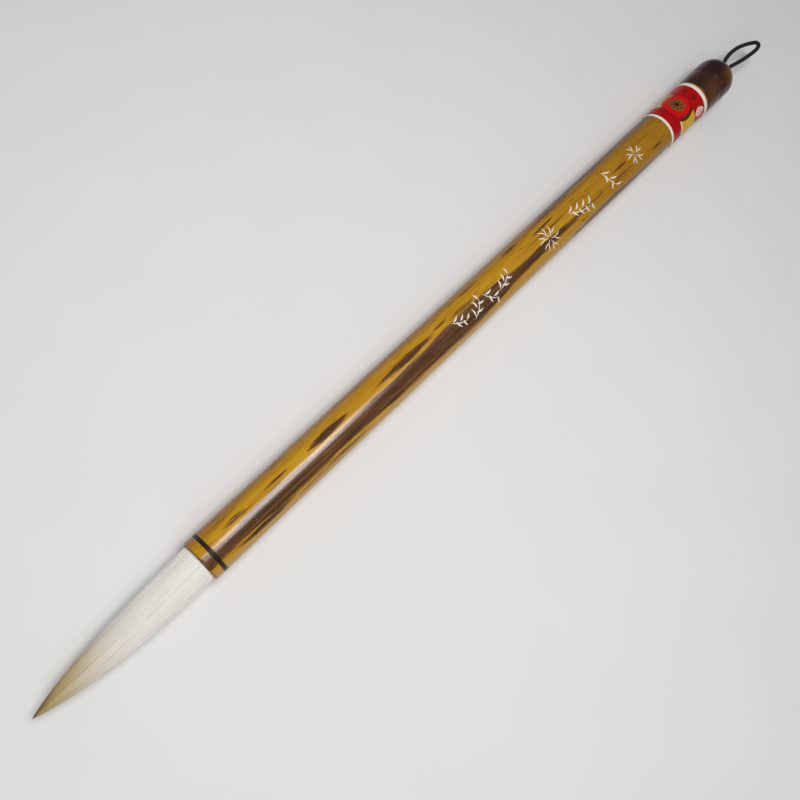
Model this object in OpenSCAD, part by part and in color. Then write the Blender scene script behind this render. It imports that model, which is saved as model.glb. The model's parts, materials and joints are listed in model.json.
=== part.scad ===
// Calligraphy brush lying on its side along X: hair point towards -X, hanging loop towards +X.
// The origin is on the surface that it lies on, under the middle of its length without the loop.

/* [Brush] */
// Length from the hair point to the top of the end cap
brush_length = 319.8; // [315:0.1:325]
// Length of hair that shows in front of the mouth
hair_length = 59; // [56:0.5:62]
// Length of the turned end cap that shows above the bamboo
cap_length = 20.3; // [19.8:0.1:21.5]

/* [Bamboo handle] */
// Outer diameter of the bamboo
handle_od = 14.1; // [14:0.05:14.3]
// Diameter of the natural bore of the bamboo
bore_d = 8; // [7:0.1:8.5]
// Diameter of the reamed socket that takes the tuft
socket_d = 12.5; // [12.45:0.01:12.6]
// Depth of the reamed socket
socket_depth = 9; // [9:0.25:11]
// Rounding of the outer edge of the mouth
mouth_round = 0.5; // [0.3:0.05:0.6]

/* [Mouth ring] */
// Distance from the mouth to the near edge of the ring's groove
ring_from_mouth = 3.3; // [2.5:0.1:5]
// Width of the groove, which holds two turns of thread
ring_width = 1.3; // [1.2:0.05:1.5]
// Depth of the groove
ring_depth = 0.25; // [0.2:0.05:0.3]

/* [End cap] */
// Diameter of the cap where it meets the bamboo
cap_base_d = 14.2; // [14.1:0.05:14.4]
// Largest diameter of the cap
cap_od = 14.8; // [14.6:0.05:15.2]
// Length over which the cap widens
cap_flare = 5.5; // [4:0.5:7]
// Height of the dome on the end of the cap
dome_height = 7.1; // [6.5:0.1:7.4]
// Distance from the bamboo to the first of the two fine grooves
cap_groove_at = 7.4; // [6.5:0.1:8]
// Distance between the two fine grooves
cap_groove_gap = 1.3; // [1.2:0.1:1.6]
// Length of the tenon that is glued into the bamboo
tenon_length = 9; // [8:0.5:10]
// Diameter of the chamber that holds the knot
chamber_d = 5.6; // [5.4:0.1:5.8]
// Diameter of the hole that the cord comes out of
cord_hole_d = 3.4; // [3.3:0.05:3.6]

/* [Paper label] */
// Length of the label along the handle
label_length = 21.6; // [18:0.1:22]
// Thickness of the label and its paste
label_thickness = 0.12; // [0.1:0.01:0.15]
// Bamboo that shows between the label and the cap
label_to_cap = 0.7; // [0.5:0.1:1]

/* [Hair tuft] */
// Diameter of the tuft at the mouth
tuft_od = 12.2; // [12:0.05:12.2]
// Share of the tuft's radius that is the inner core bundle
core_share = 0.6; // [0.5:0.05:0.7]
// Distance from the point to the bend at the mouth
root_bend_at = 56.4; // [56:0.1:56.6]
// Distance from the point to the bend in the middle
waist_bend_at = 36; // [34:0.5:38]
// Distance from the point to the bend near the point
point_bend_at = 17; // [15:0.5:19]
// Clearance between two lengths of hair that bend against each other
bend_gap = 0.3; // [0.25:0.05:0.35]
// Thickness of the thread that binds the root
binding_thread_d = 0.5; // [0.4:0.05:0.5]

/* [Hanging cord] */
// Diameter of the twisted cord
cord_d = 1.5; // [1.4:0.05:1.5]
// Distance of each strand from the middle of the hole
strand_offset = 0.8; // [0.78:0.01:0.85]

/* [Hidden] */

$fn = 64;
axis_z = cap_od / 2;                           // height of the brush's axis over the surface
mouth = hair_length;                           // all stations are measured from the hair point
socket_end = mouth + socket_depth;
cap_base = brush_length - cap_length;
cap_shoulder = cap_base + 4;                   // the knot bears on this step inside the cap
dome_start = brush_length - dome_height;
label_start = cap_base - label_to_cap - label_length;
resin_thickness = 1;
root_end = socket_end - resin_thickness;
binding_turns = 5;
binding_start = mouth + 4.6;
binding_length = binding_turns * binding_thread_d;
tuft_r = tuft_od / 2;
handle_r = handle_od / 2;
cap_groove_r = 0.18;                           // radius of the tool that cuts each fine groove
cover_end = 4;                                 // the cover hair stops this far from the point
loop_hinge = brush_length + 0.4;
loop_start = loop_hinge + 0.3;
arc_steps = 8;
eps = 0.01;

// Centre line of the loop beyond its hinge: [along the brush, sideways, up].
loop_route = [[0.3, 0.8, 0], [1.5, 1.3, 0.1], [2.9, 1.9, 0.3], [4.8, 2.35, 0.5], [7.3, 2.5, 0.8],
              [9.8, 2.3, 1], [12.2, 1.75, 1.2], [14.5, 0.9, 1.45], [16.6, -0.1, 1.65],
              [18.2, -1.05, 1.75], [18.8, -1.95, 1.8], [18.3, -2.75, 1.8], [17, -3.15, 1.65],
              [14.8, -3.15, 1.45], [12.2, -2.9, 1.2], [9.6, -2.55, 0.95], [7.1, -2.1, 0.7],
              [4.7, -1.55, 0.45], [2.9, -1.15, 0.3], [1.5, -0.9, 0.1], [0.3, -0.8, 0]];

// Children drawn along +Z from a station on the brush's axis.
module along(station) {
    translate([station - brush_length / 2, 0, axis_z]) rotate([0, 90, 0]) children();
}

// A round tube or, with no inner diameter, a rod between two stations.
module tube(from, to, outer_d, inner_d = 0) {
    along(from) difference() {
        cylinder(d = outer_d, h = to - from);
        if (inner_d > 0) translate([0, 0, -1]) cylinder(d = inner_d, h = to - from + 2);
    }
}

// A round body whose outline is a list of [radius, station] points.
module turned(outline) {
    along(0) rotate_extrude() polygon(outline);
}

// Radius of the whole tuft at a distance from its point: a pointed, slightly bulging form.
function hair_r(u) = tuft_r * pow(1 - pow(1 - min(u, hair_length) / hair_length, 2.6), 0.9);

// Distance from a bend's centre to the rim of the hollow that is cut around it.
function rim_at(bend, r, d, n) =
    n == 0 ? d : rim_at(bend, r, sqrt(max(0, r * r - pow(hair_r(bend + d), 2))), n - 1);

// Arc about a bend's centre on its root side, from radius r0 to radius r1.
function bend_arc(bend, r, r0, r1) =
    [for (i = [0 : arc_steps])
        let (a = asin(r0 / r) + (asin(r1 / r) - asin(r0 / r)) * i / arc_steps)
        [r * sin(a), bend + r * cos(a)]];

// Outer outline of the tuft between two stations.
function hair_side(from, to, n) = [for (i = [0 : n]) let (u = from + (to - from) * i / n) [hair_r(u), u]];

// One bending length of the core bundle: hollow at its tip end, ball shaped at its root end.
module core_length(tip_bend, root_bend) {
    hollow_r = hair_r(tip_bend) + bend_gap;
    turned(concat(bend_arc(tip_bend, hollow_r, 0, core_share * hair_r(tip_bend)),
                  bend_arc(root_bend, hair_r(root_bend), core_share * hair_r(root_bend), 0)));
}

// The cover hair around the same length.
module cover_length(tip_bend, root_bend) {
    hollow_r = hair_r(tip_bend) + bend_gap;
    rim = rim_at(tip_bend, hollow_r, 1, 40);
    rim_r = hair_r(tip_bend + rim);
    turned(concat(bend_arc(tip_bend, hollow_r, core_share * hair_r(tip_bend), rim_r),
                  hair_side(tip_bend + rim + 1, root_bend, 6),
                  bend_arc(root_bend, hair_r(root_bend), hair_r(root_bend) * 0.99,
                           core_share * hair_r(root_bend))));
}

module bamboo_handle() {
    color("goldenrod") difference() {
        union() {
            tube(mouth + mouth_round, cap_base, handle_od);
            along(mouth) cylinder(d1 = handle_od - 2 * mouth_round, d2 = handle_od, h = mouth_round);
        }
        tube(mouth - 1, cap_base + 1, bore_d);
        tube(mouth - 1, socket_end, socket_d);
        difference() {
            tube(mouth + ring_from_mouth, mouth + ring_from_mouth + ring_width, handle_od + 2);
            tube(mouth + ring_from_mouth - 1, mouth + ring_from_mouth + ring_width + 1,
                 handle_od - 2 * ring_depth);
        }
    }
}

// Two turns of lacquered thread, flush with the bamboo.
module mouth_ring_thread() {
    turn_r = ring_width / 4;
    color("black") for (i = [0, 1]) {
        along(mouth + ring_from_mouth + turn_r * (1 + 2 * i)) rotate_extrude() intersection() {
            translate([handle_r - turn_r, 0]) circle(r = turn_r, $fn = 24);
            translate([handle_r - ring_depth, -1]) square([1, 2]);
        }
    }
}

module paper_label() {
    color("crimson")
        tube(label_start, label_start + label_length, handle_od + 2 * label_thickness, handle_od);
}

module end_cap() {
    dome = [for (i = [0 : 10]) let (a = 9 * i)
        [max(cord_hole_d / 4, cap_od / 2 * pow(cos(a), 0.9)), dome_start + dome_height * sin(a)]];
    color("saddlebrown") difference() {
        union() {
            turned(concat([[0, cap_base], [cap_base_d / 2 - 0.2, cap_base], [cap_base_d / 2, cap_base + 0.2],
                           [cap_od / 2, cap_base + cap_flare]], dome, [[0, brush_length]]));
            tube(cap_base - tenon_length, cap_base + eps, bore_d);
        }
        tube(cap_base - tenon_length - 1, cap_shoulder, chamber_d);
        tube(cap_shoulder - 1, brush_length + 1, cord_hole_d);
        for (i = [0, 1]) along(cap_base + cap_groove_at + cap_groove_gap * i)
            rotate_extrude() translate([cap_od / 2, 0]) circle(r = cap_groove_r, $fn = 24);
    }
}

// The knot that keeps the cord in the cap: three wraps around the two strands, with their tails.
module cord_knot() {
    wrap_r = chamber_d / 2 - cord_d / 2 - 0.25;
    color("dimgray") {
        for (i = [0 : 2]) along(cap_shoulder - cord_d * (0.5 + 0.9 * i))
            rotate_extrude() translate([wrap_r, 0]) circle(d = cord_d, $fn = 24);
        tube(cap_shoulder - 2.8 * cord_d, cap_shoulder, 2 * wrap_r);
        for (side = [-1, 1]) translate([0, side * strand_offset, 0])
            tube(cap_shoulder - 8, cap_shoulder - 2.8 * cord_d + eps, cord_d);
    }
}

module cord_inside_cap() {
    color("black") for (side = [-1, 1]) translate([0, side * strand_offset, 0])
        tube(cap_shoulder, brush_length - 0.2, cord_d);
}

module socket_glue() {
    color("darkorange") tube(mouth + 1, socket_end, socket_d, tuft_od);
}

module root_resin() {
    color("peru") tube(root_end, socket_end, tuft_od);
}

module root_binding_thread() {
    color("white") for (i = [0 : binding_turns - 1])
        along(binding_start + binding_thread_d * (i + 0.5)) rotate_extrude()
            translate([tuft_r - binding_thread_d / 2, 0]) circle(d = binding_thread_d, $fn = 24);
}

module root_core_hair() {
    core_r = core_share * tuft_r;
    color("ivory") turned(concat(bend_arc(root_bend_at, hair_r(root_bend_at) + bend_gap, 0, core_r),
                                 [[core_r, root_end], [0, root_end]]));
}

module root_cover_hair() {
    hollow_r = hair_r(root_bend_at) + bend_gap;
    core_r = core_share * tuft_r;
    waist_r = tuft_r - binding_thread_d;
    color("antiquewhite") turned(concat(bend_arc(root_bend_at, hollow_r, core_r, tuft_r),
        [[tuft_r, binding_start], [waist_r, binding_start],
         [waist_r, binding_start + binding_length], [tuft_r, binding_start + binding_length],
         [tuft_r, root_end], [core_r, root_end]]));
}

module belly_core_hair() { color("ivory") core_length(waist_bend_at, root_bend_at); }

module belly_cover_hair() { color("antiquewhite") cover_length(waist_bend_at, root_bend_at); }

module waist_core_hair() { color("wheat") core_length(point_bend_at, waist_bend_at); }

module waist_cover_hair() { color("bisque") cover_length(point_bend_at, waist_bend_at); }

module point_core_hair() {
    ball_r = hair_r(point_bend_at);
    color("tan") turned(concat(hair_side(0, cover_end, 4),
                               bend_arc(point_bend_at, ball_r, core_share * ball_r, 0)));
}

module point_cover_hair() {
    ball_r = hair_r(point_bend_at);
    color("burlywood") turned(concat(hair_side(cover_end, point_bend_at, 6),
                                     bend_arc(point_bend_at, ball_r, ball_r * 0.99, core_share * ball_r)));
}

// Frame of one ring of the loop: across the route, level with the surface, and square to both.
function unit(v) = v / norm(v);
function route_dir(i) = let (n = len(loop_route) - 1)
    unit(loop_route[min(i + 1, n)] - loop_route[max(i - 1, 0)]);
function ring_points(i, sides) = let (t = i == 0 || i == len(loop_route) - 1 ?
                                          [i == 0 ? 1 : -1, 0, 0] : route_dir(i),
                                      across = unit(cross([0, 0, 1], t)), up = cross(t, across))
    [for (k = [0 : sides - 1]) let (a = 360 * (k + 0.5) / sides)
        loop_route[i] + cord_d / 2 * (cos(a) * across + sin(a) * up)];

module hanging_loop() {
    sides = 8;
    rings = len(loop_route);
    points = [for (i = [0 : rings - 1]) each ring_points(i, sides)];
    walls = [for (i = [0 : rings - 2], k = [0 : sides - 1])
        [i * sides + k, (i + 1) * sides + k, (i + 1) * sides + (k + 1) % sides, i * sides + (k + 1) % sides]];
    ends = [[for (k = [0 : sides - 1]) k], [for (k = [sides - 1 : -1 : 0]) (rings - 1) * sides + k]];
    color("black") translate([loop_hinge - brush_length / 2, 0, axis_z])
        polyhedron(points, concat(walls, ends));
}

bamboo_handle();
mouth_ring_thread();
paper_label();
end_cap();
cord_knot();
cord_inside_cap();
socket_glue();
root_resin();
root_binding_thread();
root_core_hair();
root_cover_hair();
belly_core_hair();
belly_cover_hair();
waist_core_hair();
waist_cover_hair();
point_core_hair();
point_cover_hair();
hanging_loop();
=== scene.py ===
"""Looks of the calligraphy brush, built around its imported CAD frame.

Metres, with the brush along X and the hair point at -X.
"""
import json
import math

import bmesh
import bpy
import numpy as np
from mathutils import Matrix, Vector


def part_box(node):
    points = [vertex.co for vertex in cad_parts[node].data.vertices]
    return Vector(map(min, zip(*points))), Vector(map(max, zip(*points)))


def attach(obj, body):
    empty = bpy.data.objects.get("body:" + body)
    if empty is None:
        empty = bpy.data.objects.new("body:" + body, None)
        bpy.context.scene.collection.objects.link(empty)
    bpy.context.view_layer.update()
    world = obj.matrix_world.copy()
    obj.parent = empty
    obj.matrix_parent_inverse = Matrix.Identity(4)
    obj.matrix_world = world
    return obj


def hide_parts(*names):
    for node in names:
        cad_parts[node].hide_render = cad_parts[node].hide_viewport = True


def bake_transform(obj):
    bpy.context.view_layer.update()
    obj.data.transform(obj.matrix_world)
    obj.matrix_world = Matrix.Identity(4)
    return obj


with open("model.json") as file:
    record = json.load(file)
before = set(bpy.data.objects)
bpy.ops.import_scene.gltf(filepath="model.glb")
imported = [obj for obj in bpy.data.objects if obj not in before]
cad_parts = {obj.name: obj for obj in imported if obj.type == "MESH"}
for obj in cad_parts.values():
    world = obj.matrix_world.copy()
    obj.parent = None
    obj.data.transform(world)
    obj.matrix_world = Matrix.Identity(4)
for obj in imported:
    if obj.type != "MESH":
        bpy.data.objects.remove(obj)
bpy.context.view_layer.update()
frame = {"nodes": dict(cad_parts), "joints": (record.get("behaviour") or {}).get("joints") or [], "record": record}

MM = 0.001
TAU = 2 * math.pi

# ---------------------------------------------------------------- sizes, taken from the frame
MOUNTS = {m["name"]: m for m in frame["record"]["mounts"]}
JOINT_X = {j["name"]: j["pos_m"][0] for j in frame["joints"]}
HANDLE_R = MOUNTS["handle_barrel"]["dims"]["r_mm"] * MM
CAP_R = MOUNTS["cap_barrel"]["dims"]["r_mm"] * MM
AXIS_Z = MOUNTS["handle_barrel"]["pos_m"][2]
TIP_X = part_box("point_core_hair")[0].x
MOUTH_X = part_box("bamboo_handle")[0].x
CAP_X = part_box("bamboo_handle")[1].x
CAP_END_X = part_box("end_cap")[1].x
SOCKET_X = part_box("socket_glue")[1].x
SOCKET_R = (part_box("socket_glue")[1].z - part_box("socket_glue")[0].z) / 2
BORE_R = 4 * MM  # repeated from the CAD model, as no box shows it
LABEL_X = (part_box("paper_label")[0].x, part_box("paper_label")[1].x)
RING_X = (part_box("mouth_ring_thread")[0].x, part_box("mouth_ring_thread")[1].x)
TUFT_R = (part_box("root_cover_hair")[1].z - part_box("root_cover_hair")[0].z) / 2
HAIR_LENGTH = MOUTH_X - TIP_X


def srgb(r, g, b):
    """A display colour from 0 to 255 as the linear colour that shaders take."""
    parts = [c / 255 for c in (r, g, b)]
    return tuple(c / 12.92 if c <= 10 / 255 else ((c + 0.055) / 1.055) ** 2.4 for c in parts) + (1.0,)


# ---------------------------------------------------------------- camera, light and floor
def make_camera():
    """Looks down from over the hair, tilted towards the cap; the roll makes the brush rise to the right."""
    height, from_tip, focal_mm = 268 * MM, 49.4 * MM, 40.39
    tilt, sideways, roll = math.radians(18.04), math.radians(-1.23), math.radians(43.68)
    forward = Vector((math.sin(tilt) * math.cos(sideways), math.sin(sideways),
                      -math.cos(tilt) * math.cos(sideways)))
    along = (Vector((1, 0, 0)) - forward * forward.x).normalized()
    across = forward.cross(along)
    right = math.cos(roll) * along + math.sin(roll) * across
    up = math.sin(roll) * along - math.cos(roll) * across
    data = bpy.data.cameras.new("camera")
    data.lens = focal_mm
    data.clip_start = 10 * MM
    camera = bpy.data.objects.new("camera", data)
    axes = Matrix((right, up, -forward)).transposed().to_4x4()
    camera.matrix_world = Matrix.Translation((TIP_X + from_tip, 0, AXIS_Z + height)) @ axes
    bpy.context.collection.objects.link(camera)
    bpy.context.scene.camera = camera


LIGHT_COLOUR = (1, 0.995, 0.985)
ROOM_COLOUR = (0.98, 0.99, 1.0, 1)
ROOM_STRENGTH = 0.23


def area_light(name, place, towards, size, energy, spread):
    """A soft panel at a place, facing a point; spread is how wide its beam opens, in degrees."""
    panel = bpy.data.lights.new(name, "AREA")
    panel.shape = "RECTANGLE"
    panel.size, panel.size_y = size
    panel.energy = energy
    panel.spread = math.radians(spread)
    panel.color = LIGHT_COLOUR
    light = bpy.data.objects.new(name, panel)
    facing = (Vector(towards) - Vector(place)).to_track_quat("-Z", "Y").to_matrix().to_4x4()
    light.matrix_world = Matrix.Translation(place) @ facing
    bpy.context.collection.objects.link(light)


def make_lights():
    """A ceiling panel that is brightest over the hair, a low fill from beyond the point, and a pale room."""
    area_light("ceiling_panel", (0.045, -0.02, 0.7), (-0.08, -0.02, 0), (0.34, 0.22), 1.14, 100)
    area_light("low_fill", (-0.42, -0.2, 0.5), (0, 0, 0), (0.3, 0.3), 0.75, 180)
    world = bpy.data.worlds.new("room")
    world.use_nodes = True
    background = world.node_tree.nodes["Background"]
    background.inputs["Color"].default_value = ROOM_COLOUR
    background.inputs["Strength"].default_value = ROOM_STRENGTH
    bpy.context.scene.world = world


# ---------------------------------------------------------------- small node language for materials
class Shader:
    """A material with one Principled shader, and short calls for the nodes that feed it."""

    def __init__(self, name, **sockets):
        self.material = bpy.data.materials.new(name)
        self.material.use_nodes = True
        self.tree = self.material.node_tree
        self.shader = self.tree.nodes["Principled BSDF"]
        for socket, value in sockets.items():
            self.shader.inputs[socket.replace("_", " ")].default_value = value

    def node(self, kind, *inputs, **settings):
        made = self.tree.nodes.new("ShaderNode" + kind)
        for key, value in settings.items():
            setattr(made, key, value)
        for socket, value in zip(made.inputs, inputs):
            self.set(socket, value)
        return made

    def set(self, socket, value):
        if isinstance(value, bpy.types.NodeSocket):
            self.tree.links.new(value, socket)
        elif value is not None:
            socket.default_value = value

    def link(self, socket_name, value):
        self.set(self.shader.inputs[socket_name], value)

    def math(self, operation, a, b=0.0):
        return self.node("Math", a, b, operation=operation).outputs[0]

    def attribute(self, name):
        return self.node("Attribute", attribute_name=name)

    def place(self, scale=(1, 1, 1), source=None):
        """The piece's own coordinates, or a vector attribute's, scaled along each axis."""
        vector = source or self.node("TexCoord").outputs["Object"]
        mapping = self.node("Mapping", vector)
        mapping.inputs["Scale"].default_value = scale
        return mapping.outputs[0]

    def noise(self, vector, scale=1.0, detail=3.0, roughness=0.5, distortion=0.0):
        made = self.node("TexNoise", vector)
        settings = {"Scale": scale, "Detail": detail, "Roughness": roughness, "Distortion": distortion}
        for name, value in settings.items():
            made.inputs[name].default_value = value
        return made.outputs["Fac"]

    def step(self, value, low, high, out_low=0.0, out_high=1.0):
        """value eased from out_low to out_high as it goes from low to high."""
        made = self.node("MapRange", value, low, high, out_low, out_high, interpolation_type="SMOOTHSTEP")
        return made.outputs[0]

    def ramp(self, value, *stops):
        """A colour ramp; each stop is (position, colour)."""
        made = self.node("ValToRGB", value)
        elements = made.color_ramp.elements
        while len(elements) < len(stops):
            elements.new(0.5)
        for element, (position, colour) in zip(elements, stops):
            element.position, element.color = position, colour
        return made.outputs["Color"]

    def mix(self, factor, a, b, blend="MIX"):
        made = self.node("Mix", data_type="RGBA", blend_type=blend)
        # The sockets of a colour mix are its factor and its two colours; the rest belong to other data types.
        for index, value in ((0, factor), (6, a), (7, b)):
            self.set(made.inputs[index], value)
        return made.outputs[2]

    def bump(self, height, strength, distance):
        made = self.node("Bump")
        made.inputs["Strength"].default_value = strength
        made.inputs["Distance"].default_value = distance
        self.set(made.inputs["Height"], height)
        self.link("Normal", made.outputs[0])


def make_floor():
    mesh = bpy.data.meshes.new("floor")
    half = 2.5
    corners = [(-half, -half, 0), (half, -half, 0), (half, half, 0), (-half, half, 0)]
    mesh.from_pydata(corners, [], [(0, 1, 2, 3)])
    floor = bpy.data.objects.new("floor", mesh)
    bpy.context.collection.objects.link(floor)
    paper = Shader("pale_paper", Roughness=0.75)
    grain = paper.noise(paper.place(), 35, 4)
    paper.link("Base Color", paper.mix(grain, srgb(217, 216, 215), srgb(222, 221, 220)))
    mesh.materials.append(paper.material)


# ---------------------------------------------------------------- mesh helpers
def add_piece(name, points, faces, material, body=None):
    mesh = bpy.data.meshes.new(name)
    mesh.from_pydata([tuple(p) for p in points], [], faces)
    mesh.validate()
    mesh.materials.append(material)
    mesh.shade_smooth()
    piece = bpy.data.objects.new(name, mesh)
    bpy.context.collection.objects.link(piece)
    if body:
        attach(piece, body)
    return piece


def grid_faces(rows, sides, closed_rows=False):
    """Quads between rows of sides points each, the last row joined to the first if closed_rows."""
    faces = []
    for i in range(rows if closed_rows else rows - 1):
        j = (i + 1) % rows
        for k in range(sides):
            m = (k + 1) % sides
            faces.append((i * sides + k, i * sides + m, j * sides + m, j * sides + k))
    return faces


def around(sides):
    """Angles round the axis from the top, increasing towards -Y."""
    return np.arange(sides) * TAU / sides


def lathe_points(xs, radii):
    """Rows of points round the axis. radii is rows x sides, and xs a value for each row or for each point."""
    sides = radii.shape[1]
    angle = around(sides)[None, :]
    x = np.asarray(xs, float)
    x = np.repeat(x[:, None], sides, 1) if x.ndim == 1 else x
    return np.stack([x, -radii * np.sin(angle), AXIS_Z + radii * np.cos(angle)], -1).reshape(-1, 3)


def sharpen(piece, degrees=35):
    """Keeps edges crisper than that angle sharp under smooth shading."""
    mesh = bmesh.new()
    mesh.from_mesh(piece.data)
    for edge in mesh.edges:
        edge.smooth = edge.calc_face_angle(0) < math.radians(degrees)
    mesh.to_mesh(piece.data)
    mesh.free()


def arc(centre_x, centre_r, radius, start, end, steps):
    """Points (x, r) on an arc in the lathe's outline; angles in degrees from +x towards +r."""
    turns = np.radians(np.linspace(start, end, steps))
    return [(centre_x + radius * math.cos(t), centre_r + radius * math.sin(t)) for t in turns]


def periodic_noise(generator, rows, sides, waves, along):
    """Smooth random field closing round the axis: waves lumps round it, and new ones every 1/along rows."""
    knots = max(2, int(rows * along) + 2)
    coarse = generator.normal(size=(knots, waves))
    angle = np.arange(sides) * waves / sides
    low = np.floor(angle).astype(int) % waves
    ease = 0.5 - 0.5 * np.cos(math.pi * (angle - np.floor(angle)))
    lines = coarse[:, low] * (1 - ease) + coarse[:, (low + 1) % waves] * ease
    at = np.linspace(0, knots - 1.001, rows)
    row = np.floor(at).astype(int)
    part = (at - row)[:, None]
    part = part * part * (3 - 2 * part)
    return lines[row] * (1 - part) + lines[row + 1] * part


# ---------------------------------------------------------------- bamboo handle
# Dark smoked streaks: (from and to in mm behind the mouth, angle from the top towards -Y, half width).
# The last two are in degrees, and streaks past 90 degrees lie on the underside.
SMOKED_LENSES = [
    (3, 14, -36, 2), (10, 20, -18.5, 3), (8, 14, -58, 2.5), (26, 37, -19, 3.5), (28, 41, -59, 3),
    (43, 61, -16.5, 7), (72, 100, -16, 8), (98, 106, -20, 1.5), (103, 118, -13, 2.5), (112, 127, -45, 2.5),
    (134, 144, -43.5, 5), (147, 160, -25.5, 3), (144, 167, -9, 2.5), (141, 174, -50, 3.5), (10, 34, 45, 6),
    (33, 67, 54, 2.5), (160, 215, 66, 12), (150, 232, -66, 10), (173, 183, 20, 2), (187, 197, 2, 1.5),
    (206, 214, 31, 2), (40, 75, 96, 6), (60, 120, -100, 7), (150, 185, 110, 6), (20, 48, -128, 6),
    (130, 170, -140, 5), (180, 225, 150, 7), (90, 130, 128, 4),
]
# The broad smoked band on top: (mm behind the mouth, middle angle, half width), joined by straight lines.
SMOKED_BAND = [
    (-2, 17, 16), (5, 17, 16), (10.6, 17.5, 16.5), (19, 14.5, 19.5), (30.5, 16.5, 21.5), (42, 21.3, 18.7),
    (54, 20.5, 17.5), (67, 22.3, 19.3), (79.5, 24.3, 21.7), (93, 24, 24), (102, 22.5, 28.5), (113, 23, 28),
    (118, 21.5, 25.5), (125, 20, 22), (131, 20.5, 16.5), (137, 22, 12), (149.5, 21.5, 10.5), (159, 21, 7),
    (172, 19.5, 2.5), (178, 20, 0), (300, 20, -8),
]
# A second band along the underside, in the same terms.
BACK_BAND = [
    (-2, 178, 20), (40, 170, 26), (80, 186, 16), (120, 180, 22), (150, 172, 10), (175, 176, 0),
    (300, 176, -8),
]
FAR_OUTSIDE = -30.0
LENS_FADE = 7  # how far a streak's ends sink below nothing, in degrees, so that they fade out


def angle_apart(a, b):
    return (a - b + 180) % 360 - 180


def smoke_field(x, degrees):
    """How far inside the smoked streaks a point lies, in degrees round the handle; negative outside."""
    along = (x - MOUTH_X) / MM
    inside = np.full(np.broadcast(along, degrees).shape, FAR_OUTSIDE)
    for band in (SMOKED_BAND, BACK_BAND):
        at, middle, half = (np.array(column, float) for column in zip(*band))
        off_middle = np.abs(angle_apart(degrees, np.interp(along, at, middle)))
        inside = np.maximum(inside, np.interp(along, at, half) - off_middle)
    for start, end, middle, half in SMOKED_LENSES:
        part = np.clip((along - start) / (end - start), 0, 1)
        shape = (half + LENS_FADE) * np.sin(math.pi * part) ** 0.45 - LENS_FADE
        shape = np.where((along <= start) | (along >= end), FAR_OUTSIDE, shape)
        inside = np.maximum(inside, shape - np.abs(angle_apart(degrees, middle)))
    return inside


def bamboo_material():
    bamboo = Shader("lacquered_bamboo", Roughness=0.5, Specular_IOR_Level=0.05, Coat_Weight=1.0,
                    Coat_Roughness=0.19, Coat_IOR=1.41)
    streaks = bamboo.noise(bamboo.place((28, 420, 420)), 1.0, 3, 0.6)
    fibres = bamboo.noise(bamboo.place((85, 2400, 2400)), 1.0, 4, 0.65)
    broad = bamboo.noise(bamboo.place((16, 110, 110)), 1.0, 2, 0.5)
    gold = bamboo.ramp(streaks, (0.3, srgb(168, 116, 8)), (0.47, srgb(188, 138, 16)),
                       (0.62, srgb(194, 148, 22)), (0.8, srgb(180, 126, 14)))
    gold = bamboo.mix(bamboo.step(broad, 0.4, 0.7, 0, 0.6), gold, srgb(168, 116, 10))
    gold = bamboo.mix(bamboo.step(fibres, 0.48, 0.68, 0, 0.45), gold, srgb(144, 92, 12))
    # Painted shade and painted light: the gold is painted browner and darker on the far side of the top, and paler
    # on the near side, for light that falls more on the near side.
    side = bamboo.node("SeparateXYZ", bamboo.node("TexCoord").outputs["Object"]).outputs["Y"]
    gold = bamboo.mix(bamboo.step(side, 3.6 * MM, 6.9 * MM, 0, 0.7), gold, srgb(126, 74, 0))
    gold = bamboo.mix(bamboo.step(side, -4 * MM, -6.6 * MM, 0, 0.55), gold, srgb(178, 138, 66))
    flecks = bamboo.noise(bamboo.place((130, 1700, 1700)), 1.0, 2, 0.5, 0.2)
    gold = bamboo.mix(bamboo.step(flecks, 0.63, 0.71, 0, 0.8), gold, srgb(98, 58, 20))
    smoke = bamboo.attribute("smoke").outputs["Fac"]
    feather = bamboo.math("MULTIPLY", bamboo.math("SUBTRACT", streaks, 0.5), 14)
    feather = bamboo.math("ADD", feather, bamboo.math("MULTIPLY", bamboo.math("SUBTRACT", fibres, 0.5), 26))
    inside = bamboo.math("ADD", smoke, feather)
    brown = bamboo.ramp(fibres, (0.3, srgb(118, 78, 38)), (0.45, srgb(94, 60, 30)), (0.62, srgb(76, 46, 22)),
                        (0.75, srgb(56, 33, 17)))
    brown = bamboo.mix(bamboo.step(streaks, 0.55, 0.75, 0, 0.5), brown, srgb(104, 68, 40))
    lines = bamboo.noise(bamboo.place((42, 1250, 1250)), 1.0, 2, 0.5)
    brown = bamboo.mix(bamboo.step(lines, 0.5, 0.62, 0, 0.6), brown, srgb(60, 35, 20))
    brown = bamboo.mix(bamboo.step(lines, 0.38, 0.48, 0.5, 0), brown, srgb(124, 86, 50))
    specks = bamboo.noise(bamboo.place((900, 2600, 2600)), 1.0, 1, 0.5)
    brown = bamboo.mix(bamboo.step(specks, 0.72, 0.78, 0, 0.7), brown, srgb(168, 124, 78))
    scorched = bamboo.mix(bamboo.step(inside, -4.5, 0.5, 0, 0.6), gold, srgb(126, 80, 22))
    colour = bamboo.mix(bamboo.step(inside, -2.0, 2.2), scorched, brown)
    along = bamboo.node("SeparateXYZ", bamboo.node("TexCoord").outputs["Object"]).outputs["X"]
    # The handle darkens towards the label, and it is darker brown over its first 0.8 mm behind the mouth.
    darkening = bamboo.step(along, MOUTH_X + 120 * MM, LABEL_X[0], 0, 0.45)
    colour = bamboo.mix(darkening, colour, srgb(140, 92, 12), "MULTIPLY")
    rim = bamboo.step(along, MOUTH_X + 0.2 * MM, MOUTH_X + 0.8 * MM, 0.65, 0)
    colour = bamboo.mix(rim, colour, srgb(92, 52, 18))
    bamboo.link("Base Color", colour)
    bamboo.bump(bamboo.math("ADD", fibres, bamboo.math("MULTIPLY", streaks, 0.6)), 0.05, 0.0002)
    return bamboo.material


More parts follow.
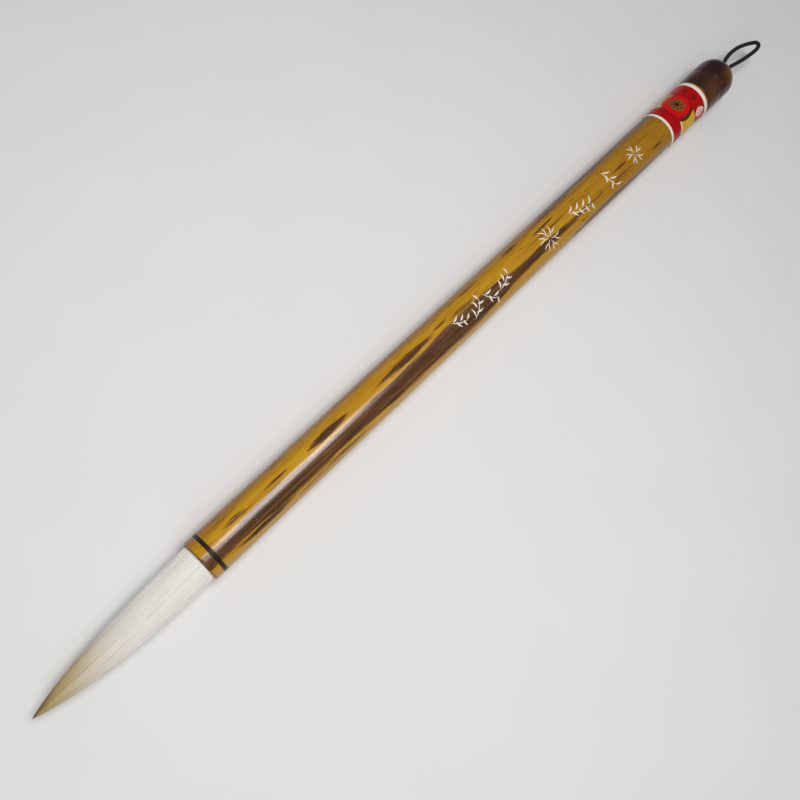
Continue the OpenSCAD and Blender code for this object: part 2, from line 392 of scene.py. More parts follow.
def make_bamboo():
    """The barrel: rounded mouth, thread groove, very slight natural swelling, reamed socket and bore."""
    sides = 288
    generator = np.random.default_rng(11)
    groove = (RING_X[0] - 0.02 * MM, RING_X[1] + 0.02 * MM, HANDLE_R - 0.25 * MM)
    edge = 0.5 * MM
    outline = arc(MOUTH_X + edge, HANDLE_R - edge, edge, 180, 90, 6)
    outline += [(x, HANDLE_R) for x in np.linspace(outline[-1][0], groove[0] - 0.12 * MM, 8)[1:]]
    outline += [(groove[0], HANDLE_R - 0.1 * MM), (groove[0], groove[2]), (groove[1], groove[2]),
                (groove[1], HANDLE_R - 0.1 * MM)]
    smooth_from = len(outline)
    outline += [(x, HANDLE_R) for x in np.linspace(groove[1] + 0.12 * MM, CAP_X - 0.2 * MM, 300)]
    smooth_to = len(outline)
    outline += [(CAP_X, HANDLE_R - 0.15 * MM), (CAP_X, BORE_R), (SOCKET_X, BORE_R), (SOCKET_X, SOCKET_R),
                (MOUTH_X + 0.1 * MM, SOCKET_R), (MOUTH_X, SOCKET_R + 0.04 * MM)]
    xs = np.array([x for x, _ in outline])
    radii = np.repeat(np.array([r for _, r in outline])[:, None], sides, 1)
    rows = smooth_to - smooth_from
    swelling = (periodic_noise(generator, rows, sides, 5, 0.03) * 0.02
                + periodic_noise(generator, rows, sides, 40, 0.05) * 0.006)
    fade = np.minimum(1, np.minimum(np.arange(rows), np.arange(rows)[::-1]) / 12)[:, None]
    radii[smooth_from:smooth_to] += (swelling - 0.03) * fade * MM
    points = lathe_points(xs, radii)
    piece = add_piece("bamboo_barrel", points, grid_faces(len(outline), sides, closed_rows=True),
                      bamboo_material(), "handle")
    degrees = np.degrees(around(sides))[None, :]
    field = smoke_field(xs[:, None], degrees)
    attribute = piece.data.attributes.new("smoke", "FLOAT", "POINT")
    attribute.data.foreach_set("value", field.reshape(-1).astype(np.float32))
    sharpen(piece)
    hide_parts("bamboo_handle")


# ---------------------------------------------------------------- mouth ring
def twisted_ring(name, centre_x, centre_r, radius, plies, turns, material):
    """A turn of twisted thread round the handle, with its plies as ridges."""
    sides, around_steps = 12, 900
    turn = np.arange(around_steps) * TAU / around_steps
    across = np.arange(sides) * TAU / sides
    t, a = np.meshgrid(turn, across, indexing="ij")
    r = radius * (1 - 0.07 * (0.5 - 0.5 * np.cos(plies * a - turns * t)))
    ring_r = centre_r + r * np.sin(a)
    points = np.stack([centre_x + r * np.cos(a), -ring_r * np.sin(t), AXIS_Z + ring_r * np.cos(t)], -1)
    faces = grid_faces(around_steps, sides, closed_rows=True)
    return add_piece(name, points.reshape(-1, 3), faces, material, "handle")


def make_mouth_ring():
    """Two turns of thread side by side, which just fill the groove."""
    lacquer = Shader("black_lacquered_thread", Roughness=0.5, Specular_IOR_Level=0.2, Coat_Weight=0.4,
                     Coat_Roughness=0.2)
    tint = lacquer.noise(lacquer.place((900, 900, 900)), 1.0, 2)
    lacquer.link("Base Color", lacquer.mix(tint, srgb(10, 7, 8), srgb(34, 24, 24)))
    thread_r = (RING_X[1] - RING_X[0]) / 4
    for index in (0, 1):
        piece = twisted_ring(f"mouth_thread_{index + 1}", RING_X[0] + thread_r * (1 + 2 * index),
                             HANDLE_R - thread_r * 1.1, thread_r * 1.08, 3, 66, lacquer.material)
        if index == 0:
            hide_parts("mouth_ring_thread")


# ---------------------------------------------------------------- hair
def hair_r(u):
    """Radius of the tuft at a distance from its point, as in the CAD model."""
    part = np.clip(u / HAIR_LENGTH, 0, 1)
    return TUFT_R * (1 - (1 - part) ** 2.6) ** 0.9


def hair_material():
    hair = Shader("goat_hair", Roughness=0.6, Sheen_Weight=0.12, Sheen_Roughness=0.4, Specular_IOR_Level=0.3)
    fibre = hair.attribute("fibre").outputs["Vector"]
    _, sideways, along = hair.node("SeparateXYZ", fibre).outputs
    lean = hair.math("MULTIPLY", sideways, 0.75)
    strands = hair.noise(hair.place((4200, 4200, 25), fibre), 1.0, 3, 0.6)
    locks = hair.noise(hair.place((900, 900, 14), fibre), 1.0, 3, 0.6)
    wander = hair.math("MULTIPLY", hair.math("SUBTRACT", locks, 0.5), 0.012)
    at = hair.math("DIVIDE", hair.math("ADD", hair.math("ADD", along, wander), lean), HAIR_LENGTH)
    body = hair.ramp(at, (0.0, srgb(112, 84, 40)), (0.06, srgb(142, 118, 70)), (0.14, srgb(172, 154, 104)),
                     (0.22, srgb(184, 168, 128)), (0.3, srgb(197, 187, 164)), (0.38, srgb(209, 202, 188)),
                     (0.47, srgb(217, 212, 203)), (0.62, srgb(222, 218, 212)), (1.0, srgb(226, 223, 218)))
    # Painted shade and painted highlight: the gaps between strands are painted darker as shade, and some strands
    # are painted pale as a sheen, both stronger towards the point.
    painted_light_strength = hair.step(at, 0.1, 0.7, 0.5, 0.16)
    painted_gap_shade = hair.math("MULTIPLY", hair.step(strands, 0.34, 0.56, 1, 0), painted_light_strength)
    painted_light_hair = hair.mix(painted_gap_shade, body, hair.mix(0.5, body, srgb(150, 128, 92), "MULTIPLY"))
    painted_strand_highlight = hair.math("MULTIPLY", hair.step(strands, 0.6, 0.74), painted_light_strength)
    painted_light_hair = hair.mix(painted_strand_highlight, painted_light_hair, srgb(240, 236, 224))
    hair.link("Base Color", painted_light_hair)
    hair.bump(strands, 0.14, 0.0001)
    return hair.material


def mark_fibres(piece, angle, u):
    """Stores each point's place on the unbent tuft, so that the hair's pattern bends with it."""
    values = np.stack([TUFT_R * np.cos(angle), TUFT_R * np.sin(angle), u], -1).astype(np.float32)
    attribute = piece.data.attributes.new("fibre", "FLOAT_VECTOR", "POINT")
    attribute.data.foreach_set("vector", values.reshape(-1))


ROOT_U = HAIR_LENGTH + 5 * MM
HAIR_CUTS = [ROOT_U, ((JOINT_X["tuft_bend"] + JOINT_X["waist_bend"]) / 2) - TIP_X,
             ((JOINT_X["waist_bend"] + JOINT_X["point_bend"]) / 2) - TIP_X, 0.0]
ROW_STEP = 0.5 * MM
POINT_R = 0.13 * MM
TIP_STRAY, MIDDLE_BOW = 0.2, 0.4  # in mm, to opposite sides
HAIR_COUNT, HAIR_SEED = 420, 23


def bow(u):
    """How far the tuft's middle strays sideways at a distance from its point: a slight natural curve."""
    part = np.clip(u / HAIR_LENGTH, 0, 1)
    return (TIP_STRAY * (1 - part) ** 2 - MIDDLE_BOW * np.sin(math.pi * part)) * MM


def hair_rows():
    """Stations from the root to the point, the cuts among them, that all the lengths of hair share."""
    stations = []
    for start, end in zip(HAIR_CUTS[:-1], HAIR_CUTS[1:]):
        stations += list(np.linspace(start, end, int(round((start - end) / ROW_STEP)) + 1))[:-1]
    return np.array(stations + [0.0])


def rows_between(stations, start, end):
    return np.where((stations <= start + 1e-9) & (stations >= end - 1e-9))[0]


def make_tuft_surface(stations):
    """The whole tuft's surface as rows of radii: locks and fine strands that all run into the point."""
    sides = 300
    generator = np.random.default_rng(5)
    rows = len(stations)
    ridges = (periodic_noise(generator, rows, sides, 18, 0.03) * 0.012
              + periodic_noise(generator, rows, sides, 48, 0.05) * 0.014
              + periodic_noise(generator, rows, sides, 110, 0.08) * 0.02)
    base = hair_r(stations)
    inside = np.clip((stations - HAIR_LENGTH) / (3 * MM), 0, 1)
    scale = (base / TUFT_R) * (1 - inside)
    radii = base[:, None] - 0.015 * MM * (base / TUFT_R)[:, None] + ridges * MM * scale[:, None]
    least = POINT_R * np.sqrt(np.minimum(stations / POINT_R, 1))
    return np.maximum(np.minimum(radii, base[:, None]), least[:, None])


def strand_path(generator):
    """One hair: its angle, how far it drifts round, and how far from the point it ends."""
    angle = generator.uniform(0, TAU)
    drift = generator.normal(0, 0.05)
    reaches_point = generator.random() < 0.55
    end = generator.uniform(0.2, 3) * MM if reaches_point else generator.uniform(5, 30) * MM
    return angle, drift, end


def make_strands(stations, low, high):
    """Single hairs between two stations, as thin three-sided tubes that meet the next length's at the cut."""
    generator = np.random.default_rng(HAIR_SEED)
    points, faces, angles, us = [], [], [], []
    rows = rows_between(stations, high, low)
    rows = np.unique(np.concatenate([rows[::2], rows[-1:]]))
    for _ in range(HAIR_COUNT):
        angle, drift, end = strand_path(generator)
        thickness = generator.uniform(0.02, 0.032) * MM
        lift = generator.uniform(-0.01, 0.02) * MM
        kept = rows[stations[rows] >= end]
        if len(kept) < 3:
            continue
        u = stations[kept]
        turn = angle + drift * (1 - u / HAIR_LENGTH)
        taper = np.clip((u - end) / (6 * MM), 0.12, 1)
        inside = np.clip((u - HAIR_LENGTH) / (2 * MM), 0, 1)
        r = hair_r(u) + lift * taper - 0.12 * MM * inside
        first = len(points)
        for i in range(len(u)):
            for k in range(3):
                a = TAU * k / 3 + math.pi / 2
                rr = r[i] - 0.03 * MM + thickness * taper[i] * math.sin(a)
                side = thickness * taper[i] * math.cos(a) / max(r[i], 0.3 * MM)
                t = turn[i] + side
                points.append((TIP_X + u[i], bow(u[i]) - rr * math.sin(t), AXIS_Z + rr * math.cos(t)))
                angles.append(t)
                us.append(u[i])
        faces += [tuple(first + v for v in face) for face in grid_faces(len(u), 3)]
        faces += [(first, first + 1, first + 2), tuple(len(points) - 1 - v for v in range(3))]
    return points, faces, np.array(angles), np.array(us)


def make_hair():
    material = hair_material()
    stations = hair_rows()
    radii = make_tuft_surface(stations)
    sides = radii.shape[1]
    lengths = [
        ("tuft_belly_hair", HAIR_CUTS[0], HAIR_CUTS[1], "handle", "tuft_belly", "tuft_bend",
         ["root_cover_hair", "root_core_hair", "belly_cover_hair", "belly_core_hair"]),
        ("tuft_waist_hair", HAIR_CUTS[1], HAIR_CUTS[2], "tuft_belly", "tuft_waist", "waist_bend",
         ["waist_cover_hair", "waist_core_hair"]),
        ("tuft_point_hair", HAIR_CUTS[2], HAIR_CUTS[3], "tuft_waist", "tuft_point", "point_bend",
         ["point_cover_hair", "point_core_hair"]),
    ]
    for name, high, low, parent, child, joint, nodes in lengths:
        rows = rows_between(stations, high, low)
        points = lathe_points(TIP_X + stations[rows], radii[rows])
        points[:, 1] += np.repeat(bow(stations[rows]), sides)
        faces = grid_faces(len(rows), sides)
        faces.append(tuple(range(sides))[::-1])
        faces.append(tuple((len(rows) - 1) * sides + k for k in range(sides)))
        angle = np.tile(around(sides), len(rows))
        u = np.repeat(stations[rows], sides)
        more, more_faces, more_angle, more_u = make_strands(stations, low, high)
        faces += [tuple(len(points) + v for v in face) for face in more_faces]
        points = np.concatenate([points, np.array(more)])
        piece = add_piece(name, points, faces, material)
        mark_fibres(piece, np.concatenate([angle, more_angle]), np.concatenate([u, more_u]))
        sharpen(piece, 60)
        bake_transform(piece)
        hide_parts(*nodes)


# ---------------------------------------------------------------- end cap
# Where the horn's tone changes: (place, full within, gone beyond, how much, colour)
HORN_PATCHES = [
    ((CAP_END_X - 5 * MM, -2.6 * MM, AXIS_Z + 5.6 * MM), 0.5 * MM, 5.2 * MM, 0.9, srgb(112, 70, 22)),
    ((CAP_END_X - 6 * MM, 3 * MM, AXIS_Z + 5.8 * MM), 0.5 * MM, 5.5 * MM, 0.9, srgb(30, 11, 11)),
    ((CAP_X + 3.5 * MM, -3.2 * MM, AXIS_Z + 6 * MM), 1 * MM, 6.5 * MM, 0.6, srgb(102, 62, 32)),
    ((CAP_END_X - 3 * MM, 1 * MM, AXIS_Z - 5 * MM), 2 * MM, 7 * MM, 0.7, srgb(104, 64, 26)),
]


def horn_material():
    horn = Shader("polished_horn", Roughness=0.4, Specular_IOR_Level=0.05, Coat_Weight=0.9,
                  Coat_Roughness=0.09, Coat_IOR=1.34)
    clouds = horn.noise(horn.place((80, 190, 190)), 1.0, 3, 0.5, 0.5)
    grain = horn.noise(horn.place((160, 1300, 1300)), 1.0, 3, 0.55)
    colour = horn.ramp(clouds, (0.3, srgb(40, 16, 13)), (0.46, srgb(52, 23, 16)), (0.58, srgb(62, 30, 19)),
                       (0.75, srgb(88, 50, 24)))
    position = horn.node("TexCoord").outputs["Object"]
    for centre, low, high, amount, tone in HORN_PATCHES:
        away = horn.node("VectorMath", position, centre, operation="DISTANCE").outputs["Value"]
        wobble = horn.math("ADD", away, horn.math("MULTIPLY", horn.math("SUBTRACT", clouds, 0.5), 0.009))
        colour = horn.mix(horn.step(wobble, low, high, amount, 0), colour, tone)
    colour = horn.mix(horn.step(grain, 0.42, 0.68, 0, 0.4), colour, srgb(36, 15, 14))
    horn.link("Base Color", colour)
    horn.bump(grain, 0.04, 0.0002)
    return horn.material


def make_cap():
    """The turned cap: slight flare, two fine grooves, domed end and cord hole, without its hidden tenon."""
    sides = 160
    groove_x = [CAP_X + 7.4 * MM, CAP_X + 8.7 * MM]
    groove_r = 0.15 * MM
    dome = 7.1 * MM
    outline = [(CAP_X, 3 * MM), (CAP_X, 6.9 * MM), (CAP_X + 0.06 * MM, 7.02 * MM),
               (CAP_X + 0.2 * MM, 7.1 * MM)]
    for t in np.linspace(0.1, 1, 9):
        outline.append((CAP_X + 5.5 * MM * t, (7.1 + 0.3 * math.sin(t * math.pi / 2)) * MM))
    for x in groove_x:
        outline += [(x - 1.5 * groove_r, CAP_R), (x - 1.15 * groove_r, CAP_R - 0.01 * MM)]
        for t in np.linspace(2.9, 0.24, 7):
            outline.append((x + groove_r * math.cos(t), CAP_R - groove_r * math.sin(t)))
        outline += [(x + 1.15 * groove_r, CAP_R - 0.01 * MM), (x + 1.5 * groove_r, CAP_R)]
    outline += [(x, CAP_R) for x in np.linspace(groove_x[1] + 0.9 * MM, CAP_END_X - dome, 7)]
    hole = 1.7 * MM
    for t in np.radians(np.linspace(3, 90, 30)):
        x, r = CAP_END_X - dome + dome * math.sin(t), CAP_R * math.cos(t) ** 0.9
        if r > hole + 0.3 * MM:
            outline.append((x, r))
    last_x = outline[-1][0]
    outline += [(last_x + 0.02 * MM, hole + 0.25 * MM), (last_x - 0.05 * MM, hole + 0.08 * MM),
                (last_x - 0.25 * MM, hole)]
    outline += [(CAP_X + 4 * MM, hole), (CAP_X + 4 * MM, 2.8 * MM)]
    xs = np.array([x for x, _ in outline])
    radii = np.repeat(np.array([r for _, r in outline])[:, None], sides, 1)
    piece = add_piece("horn_cap", lathe_points(xs, radii), grid_faces(len(outline), sides, closed_rows=True),
                      horn_material(), "handle")
    sharpen(piece, 50)
    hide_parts("end_cap")


# ---------------------------------------------------------------- paper label
def label_material():
    """A printed band: white edges, red field, gold panels with a dark crescent, and a disc with a rosette."""
    label = Shader("printed_label", Roughness=0.4, Specular_IOR_Level=0.08, Coat_Weight=0.5,
                   Coat_Roughness=0.17, Coat_IOR=1.3)
    position = label.node("SeparateXYZ", label.node("TexCoord").outputs["Object"]).outputs
    middle = (LABEL_X[0] + LABEL_X[1]) / 2
    half = (LABEL_X[1] - LABEL_X[0]) / 2 / MM
    # Places on the print are in mm: down is along the brush from the label's middle,
    # and wide is round it from the top.
    down = label.math("DIVIDE", label.math("SUBTRACT", position["X"], middle), MM)
    turn = label.math("ARCTAN2", label.math("MULTIPLY", position["Y"], -1),
                      label.math("SUBTRACT", position["Z"], AXIS_Z))
    # The printed face repeats on the back, so the angle is folded about a quarter turn.
    folded = label.math("ARCSINE", label.math("MULTIPLY", label.math("SINE", turn), 0.9999))
    wide = label.math("MULTIPLY", folded, HANDLE_R / MM)

    def within(value, low, high, blur=0.05):
        above = label.step(value, low - blur, low + blur)
        return label.math("MULTIPLY", above, label.step(value, high - blur, high + blur, 1, 0))

    def union(*values):
        total = values[0]
        for value in values[1:]:
            total = label.math("MAXIMUM", total, value)
        return total

    def squared(value):
        return label.math("MULTIPLY", value, value)

    def both(first, *others):
        for other in others:
            first = label.math("MULTIPLY", first, other)
        return first

    def offset(x, y, squash=1.0):
        """Along, across and distance from a place on the label."""
        along = label.math("SUBTRACT", down, x)
        across = label.math("MULTIPLY", label.math("SUBTRACT", wide, y), squash)
        return along, across, label.math("SQRT", label.math("ADD", squared(along), squared(across)))

    wear = label.noise(label.place((1500, 1500, 1500)), 1.0, 3, 0.6)
    red = label.ramp(wear, (0.3, srgb(156, 0, 4)), (0.7, srgb(180, 0, 7)))
    disc_along, disc_across, reach = offset(-1.1, -2.2, 0.91)
    colour = red
    # Gold panels on either side of the disc, with a pale line along their lower edge.
    low_edge = label.math("ADD", label.math("MULTIPLY", squared(wide), -0.008), -4.2)
    over_edge = label.math("SUBTRACT", down, low_edge)
    beside = union(label.step(wide, 3.3, 3.4), label.step(wide, -6.4, -6.3, 1, 0))
    panel = both(beside, label.step(over_edge, 0, 0.1), label.step(down, 2.9, 3.0, 1, 0))
    panel_gold = label.mix(label.step(wide, -8, 8), srgb(190, 158, 62), srgb(200, 164, 14))
    colour = label.mix(panel, colour, panel_gold)
    colour = label.mix(both(beside, within(over_edge, -0.7, 0.0)), colour, srgb(222, 206, 186))
    crescent = both(within(reach, 4.6, 6.1), label.step(wide, 2.4, 2.5), within(down, -4.6, 4.4))
    colour = label.mix(crescent, colour, srgb(74, 36, 16))
    colour = label.mix(both(within(reach, 5.5, 5.75), label.step(down, 0.6, 0.8)), colour, srgb(118, 4, 10))
    colour = label.mix(label.step(reach, 4.85, 4.95, 1, 0), colour, srgb(198, 6, 14))
    colour = label.mix(within(reach, 4.7, 4.9), colour, srgb(126, 4, 10))
    # A plain rosette in dull gold with a dark eye.
    petals = label.math("COSINE", label.math("MULTIPLY", label.math("ARCTAN2", disc_across, disc_along), 8))
    past_petals = label.math("SUBTRACT", reach, label.math("MULTIPLY", petals, 0.34))
    rosette = label.step(past_petals, 2.65, 2.75, 1, 0)
    colour = label.mix(rosette, colour, label.mix(wear, srgb(96, 62, 22), srgb(134, 92, 40)))
    rays = both(within(reach, 1.1, 2.2, 0.08), label.step(petals, 0.55, 0.7))
    colour = label.mix(rays, colour, srgb(60, 30, 14))
    colour = label.mix(label.step(reach, 0.75, 0.85, 1, 0), colour, srgb(50, 22, 12))
    # Small plain lozenges on the upper red band, dots on the lower one, and a white leaf.
    for place in (-3.9, 0.1, 11.0, -11.0):
        along, across, _ = offset(6.2, place)
        lozenge = label.math("ADD", label.math("ABSOLUTE", along), label.math("ABSOLUTE", across))
        hollow = both(label.step(lozenge, 1.15, 1.25, 1, 0), label.step(lozenge, 0.4, 0.5))
        colour = label.mix(hollow, colour, srgb(92, 8, 16))
    repeat = label.math("FRACT", label.math("MULTIPLY", wide, 0.9))
    dots = label.math("ABSOLUTE", label.math("SUBTRACT", repeat, 0.5))
    off_row = label.math("ABSOLUTE", label.math("SUBTRACT", over_edge, -2.4))
    dotted = both(label.step(off_row, 0.34, 0.44, 1, 0), label.step(dots, 0.2, 0.28, 1, 0))
    colour = label.mix(dotted, colour, srgb(104, 2, 8))
    leaf_along, leaf_across, _ = offset(5.8, 5.7)
    leaf = label.math("ADD", squared(label.math("DIVIDE", leaf_along, 2.6)),
                      label.math("ABSOLUTE", label.math("DIVIDE", leaf_across, 1.7)))
    colour = label.mix(label.step(leaf, 0.95, 1.05, 1, 0), colour, srgb(226, 208, 196))
    slant = label.math("ADD", label.math("MULTIPLY", leaf_along, 0.8), label.math("ABSOLUTE", leaf_across))
    veins = label.math("ABSOLUTE", label.math("SUBTRACT", label.math("FRACT", slant), 0.5))
    veined = both(label.step(leaf, 0.85, 0.95, 1, 0), label.step(veins, 0.12, 0.2, 1, 0))
    colour = label.mix(veined, colour, srgb(190, 10, 18))
    white = union(label.step(down, half - 1.75, half - 1.68),
                  label.step(down, -half + 1.0, -half + 1.07, 1, 0))
    colour = label.mix(white, colour, srgb(228, 224, 214))
    colour = label.mix(label.step(down, half - 0.22, half - 0.17), colour, srgb(120, 98, 30))
    label.link("Base Color", colour)
    label.bump(wear, 0.05, 0.0001)
    return label.material


def make_label():
    """A strip of paper wrapped once round the bamboo, its end lapped over its start underneath."""
    steps, rows = 220, 26
    thickness, lap = 0.1 * MM, math.radians(9)
    angles = np.linspace(math.radians(176), math.radians(176) + TAU + lap, steps)
    ramp = np.clip((angles - (angles[-1] - 2.2 * lap)) / (1.2 * lap), 0, 1)
    inner = HANDLE_R + 0.005 * MM + thickness * 1.05 * ramp * ramp * (3 - 2 * ramp)
    outer = inner + thickness
    between = np.linspace(LABEL_X[0] + 0.04 * MM, LABEL_X[1] - 0.04 * MM, rows)
    xs = np.concatenate([[LABEL_X[0]], between, [LABEL_X[1]]])
    trim = np.concatenate([[0.5], np.ones(rows), [0.5]])
    points, sides = [], 2 * len(xs)
    for angle, r_in, r_out in zip(angles, inner, outer):
        ring = [(x, r_in + (r_out - r_in) * t) for x, t in zip(xs, trim)] + [(x, r_in) for x in xs[::-1]]
        points += [(x, -r * math.sin(angle), AXIS_Z + r * math.cos(angle)) for x, r in ring]
    faces = grid_faces(steps, sides)
    faces += [tuple(range(sides))[::-1], tuple((steps - 1) * sides + k for k in range(sides))]
    piece = add_piece("label_strip", points, faces, label_material(), "handle")
    sharpen(piece, 50)
    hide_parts("paper_label")


# ---------------------------------------------------------------- painted motif on the bamboo
def stroke_points(x, across, length, width, turn):
    """A pointed leaf stroke of raised paint, in mm; across is the arc from the barrel's top towards -Y."""
    steps = 12
    heights = ((-1, -0.05), (-0.92, 0.018), (-0.45, 0.036), (0, 0.04), (0.45, 0.036), (0.92, 0.018),
               (1, -0.05), (0, -0.06))
    points = []
    for i in range(steps + 1):
        t = i / steps
        w = width / 2 * (math.sin(math.pi * min(max(t, 0.02), 0.98)) ** 0.7) * (1.15 - 0.3 * t)
        bend = 0.10 * length * math.sin(math.pi * t)
        for side, height in heights:
            along, off = (t - 0.5) * length, side * w + bend
            px = x + along * math.cos(turn) - off * math.sin(turn)
            pa = across + along * math.sin(turn) + off * math.cos(turn)
            r, angle = HANDLE_R + height * MM, pa * MM / HANDLE_R
            points.append((MOUTH_X + px * MM, -r * math.sin(angle), AXIS_Z + r * math.cos(angle)))
    return points, steps + 1, len(heights)


def sprig(x, across, size, leaves, lean):
    """Strokes of a leafy twig: a curved stem, with leaves in turn on either side."""
    strokes = [(x, across, size, 0.34, lean)]
    for i in range(leaves):
        t = (i + 0.6) / leaves - 0.5
        side = 1 if i % 2 else -1
        turn = lean + side * (0.8 + 0.06 * i)
        reach = min(2.9, size * (0.44 - 0.03 * i))
        strokes.append((x + t * size * math.cos(lean) + reach / 2 * math.cos(turn),
                        across + t * size * math.sin(lean) + reach / 2 * math.sin(turn), reach, 0.62, turn))
    return strokes


def blossom(x, across, size, petals, start=0.3):
    """Strokes of an open flower: pairs of thin strokes round each petal, and short stamens."""
    strokes = []
    for i in range(petals):
        turn = start + TAU * i / petals
        for side in (-1, 1):
            towards = turn + side * 0.2
            strokes.append((x + size * 0.34 * math.cos(towards), across + size * 0.34 * math.sin(towards),
                            size * 0.34, 0.4, turn + side * 0.42))
        strokes.append((x + size * 0.14 * math.cos(turn), across + size * 0.14 * math.sin(turn),
                        size * 0.15, 0.26, turn))
    return strokes


# Where the painted motifs stand: mm behind the mouth, mm round from the top towards -Y.
MOTIFS = (
    sprig(108.0, 0.9, 6.4, 5, 0.45) + sprig(115.6, 1.8, 7.2, 5, -0.75) + sprig(122.4, 1.9, 6.8, 4, 0.8)
    + sprig(129.0, 1.3, 7.0, 5, -0.4) + blossom(152.4, 1.4, 9.0, 6) + sprig(169.0, 1.0, 11.5, 8, 0.3)
    + sprig(185.8, 0.4, 8.2, 5, 1.3) + blossom(200.0, 0.4, 7.2, 5, 0.9)
)


def make_motif():
    paint = Shader("white_paint", Roughness=0.45)
    wear = paint.noise(paint.place((1400, 1400, 1400)), 1.0, 3)
    paint.link("Base Color", paint.mix(wear, srgb(206, 198, 182), srgb(246, 242, 234)))
    points, faces = [], []
    for stroke in MOTIFS:
        more, rows, sides = stroke_points(*stroke)
        first = len(points)
        points += more
        faces += [tuple(first + v for v in face) for face in grid_faces(rows, sides)]
        last = first + (rows - 1) * sides
        faces += [tuple(first + k for k in range(sides))[::-1], tuple(last + k for k in range(sides))]
    add_piece("painted_motif", points, faces, paint.material, "handle")


# ---------------------------------------------------------------- hanging cord
# The loop's centre line beyond its hinge, as in the CAD model: along the brush, sideways and up, in mm.
LOOP_ROUTE = [
    (0.3, 0.8, 0), (1.5, 1.3, 0.1), (2.9, 1.9, 0.3), (4.8, 2.35, 0.5), (7.3, 2.5, 0.8), (9.8, 2.3, 1),
    (12.2, 1.75, 1.2), (14.5, 0.9, 1.45), (16.6, -0.1, 1.65), (18.2, -1.05, 1.75), (18.8, -1.95, 1.8),
    (18.3, -2.75, 1.8), (17, -3.15, 1.65), (14.8, -3.15, 1.45), (12.2, -2.9, 1.2), (9.6, -2.55, 0.95),
    (7.1, -2.1, 0.7), (4.7, -1.55, 0.45), (2.9, -1.15, 0.3), (1.5, -0.9, 0.1), (0.3, -0.8, 0),
]
STRAND_OFFSET = 0.8  # in mm, from the brush's axis to each strand in the cap's hole
CORD_D = 1.5 * MM
EASING_PASSES = 60


def smooth_route(points, spacing):
    """The route as a smooth curve with even steps: a Catmull-Rom spline through its points, then eased."""
    p = np.array(points, float)
    p = np.concatenate([[2 * p[0] - p[1]], p, [2 * p[-1] - p[-2]]])
    fine = []
    for i in range(1, len(p) - 2):
        for t in np.linspace(0, 1, 24, endpoint=False):
            fine.append(0.5 * (2 * p[i] + (p[i + 1] - p[i - 1]) * t
                               + (2 * p[i - 1] - 5 * p[i] + 4 * p[i + 1] - p[i + 2]) * t * t
                               + (3 * p[i] - p[i - 1] - 3 * p[i + 1] + p[i + 2]) * t ** 3))
    fine = np.array(fine + [p[-2]])
    run = np.concatenate([[0], np.cumsum(np.linalg.norm(np.diff(fine, axis=0), axis=1))])
    at = np.linspace(0, run[-1], int(round(run[-1] / spacing)) + 1)
    even = np.stack([np.interp(at, run, fine[:, k]) for k in range(3)], 1)
    # Eased a little, so that the cord's far bend is no tighter than its own thickness allows.
    for _ in range(EASING_PASSES):
        even[1:-1] = (even[:-2] + 2 * even[1:-1] + even[2:]) / 4
    return even, np.concatenate([[0], np.cumsum(np.linalg.norm(np.diff(even, axis=0), axis=1))])


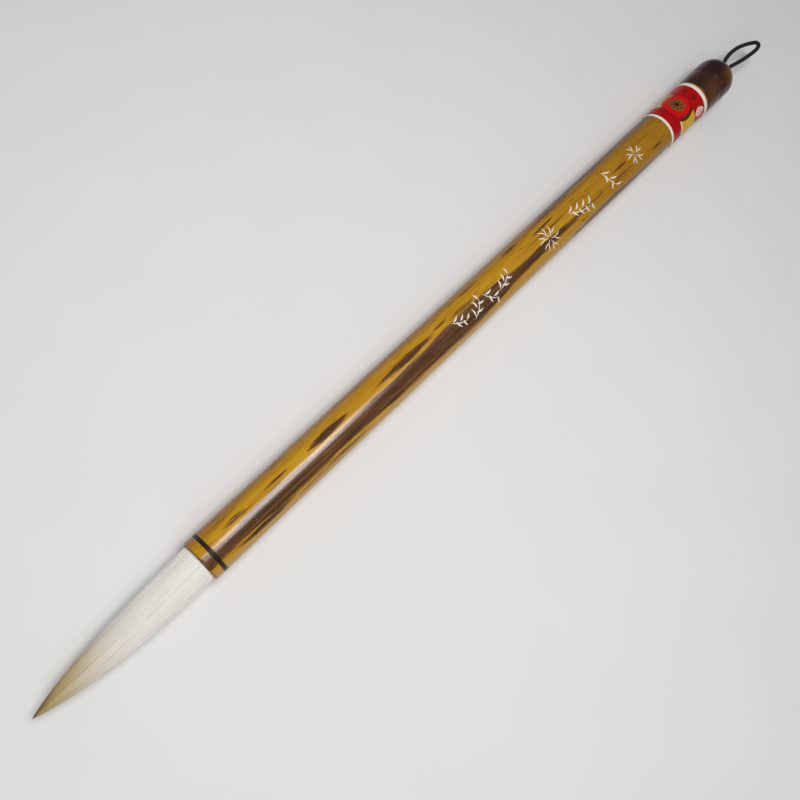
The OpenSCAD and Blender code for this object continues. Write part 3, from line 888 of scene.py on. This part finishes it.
def make_cord():
    hinge = np.array([JOINT_X["loop_swing"], 0, AXIS_Z])
    inside = (CAP_END_X - 0.2 * MM - hinge[0]) / MM
    route = [(inside, STRAND_OFFSET, 0)] + LOOP_ROUTE + [(inside, -STRAND_OFFSET, 0)]
    path, run = smooth_route([hinge + np.array(p) * MM for p in route], 0.09 * MM)
    tangent = np.gradient(path, axis=0)
    tangent /= np.linalg.norm(tangent, axis=1)[:, None]
    across = np.cross([0, 0, 1.0], tangent)
    across /= np.linalg.norm(across, axis=1)[:, None]
    up = np.cross(tangent, across)
    sides, plies, pitch = 24, 3, 1.9 * MM
    angle = np.arange(sides) * TAU / sides
    lobes = np.abs(np.cos(plies / 2 * (angle[None, :] - TAU * run[:, None] / pitch)))
    radius = CORD_D / 2 * (0.88 + 0.12 * lobes ** 0.6)
    outwards = (np.cos(angle)[None, :, None] * across[:, None, :]
                + np.sin(angle)[None, :, None] * up[:, None, :])
    points = (path[:, None, :] + radius[..., None] * outwards).reshape(-1, 3)
    faces = [face[::-1] for face in grid_faces(len(path), sides)]
    faces += [tuple(range(sides)), tuple((len(path) - 1) * sides + k for k in range(sides))[::-1]]
    cord = Shader("black_cord", Roughness=0.55, Specular_IOR_Level=0.3)
    coords = cord.attribute("lay").outputs["Vector"]
    yarn = cord.noise(cord.place((5000, 5000, 1500), coords), 1.0, 3, 0.6)
    cord.link("Base Color", cord.mix(cord.step(yarn, 0.35, 0.7), srgb(9, 7, 10), srgb(32, 27, 34)))
    cord.bump(yarn, 0.3, 0.0001)
    piece = add_piece("hanging_cord", points, faces, cord.material)
    turn = angle[None, :] - TAU * run[:, None] / pitch
    lay = np.stack([np.cos(turn), np.sin(turn), np.repeat((run / CORD_D)[:, None], sides, 1)], -1) * CORD_D
    attribute = piece.data.attributes.new("lay", "FLOAT_VECTOR", "POINT")
    attribute.data.foreach_set("vector", lay.reshape(-1).astype(np.float32))
    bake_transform(piece)
    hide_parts("hanging_loop")
    return cord.material


# ---------------------------------------------------------------- materials of the CAD nodes that stay
def paint_node(node, material):
    obj = frame["nodes"][node]
    obj.data.materials.clear()
    obj.data.materials.append(material)


def paint_hidden_parts(cord_material):
    glue = Shader("amber_shellac", Roughness=0.2)
    glue.link("Base Color", glue.mix(glue.noise(glue.place(), 900, 3), srgb(120, 72, 26), srgb(168, 112, 48)))
    linen = Shader("linen_thread", Roughness=0.8)
    twist = linen.noise(linen.place(), 3000, 3)
    linen.link("Base Color", linen.mix(twist, srgb(196, 186, 164), srgb(232, 226, 210)))
    linen.bump(linen.noise(linen.place(), 4000, 2), 0.4, 0.0001)
    for node, material in (("socket_glue", glue.material), ("root_resin", glue.material),
                           ("root_binding_thread", linen.material), ("cord_knot", cord_material),
                           ("cord_inside_cap", cord_material)):
        paint_node(node, material)


bpy.context.scene.view_settings.view_transform = "Standard"
make_camera()
cord_material = make_cord()
make_lights()
make_floor()
make_hair()
make_bamboo()
make_mouth_ring()
make_motif()
make_label()
make_cap()
paint_hidden_parts(cord_material)
